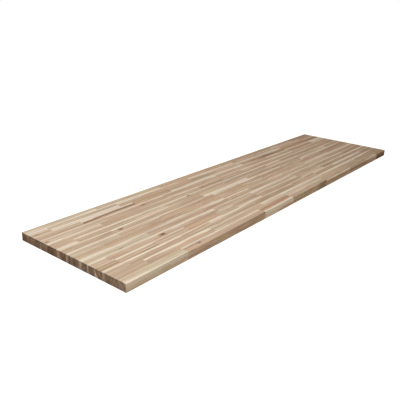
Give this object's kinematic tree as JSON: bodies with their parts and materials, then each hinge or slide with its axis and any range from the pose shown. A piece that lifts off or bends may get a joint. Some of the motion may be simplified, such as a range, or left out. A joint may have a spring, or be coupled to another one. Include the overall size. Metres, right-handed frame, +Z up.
{
  "type": "butcher block countertop",
  "caption": "Flat rectangular kitchen worktop glued up from long hardwood staves laid end to end in parallel rows, with lightly eased edges.",
  "frame": {"origin": "middle of the underside, which lies on the cabinets or on the floor", "axes": "+X along the length, from the left end to the right end; +Y across, from the front edge to the back edge; +Z up, out of the working face"},
  "size_m": [2.4892, 0.635, 0.0381],
  "materials": {
    "acacia": "sanded, unfinished"
  },
  "bodies": {
    "root": {"stave_row_01": "acacia", "stave_row_02": "acacia", "stave_row_03": "acacia", "stave_row_04": "acacia", "stave_row_05": "acacia", "stave_row_06": "acacia", "stave_row_07": "acacia", "stave_row_08": "acacia", "stave_row_09": "acacia", "stave_row_10": "acacia", "stave_row_11": "acacia", "stave_row_12": "acacia", "stave_row_13": "acacia", "stave_row_14": "acacia", "stave_row_15": "acacia"}
  },
  "joints": []
}
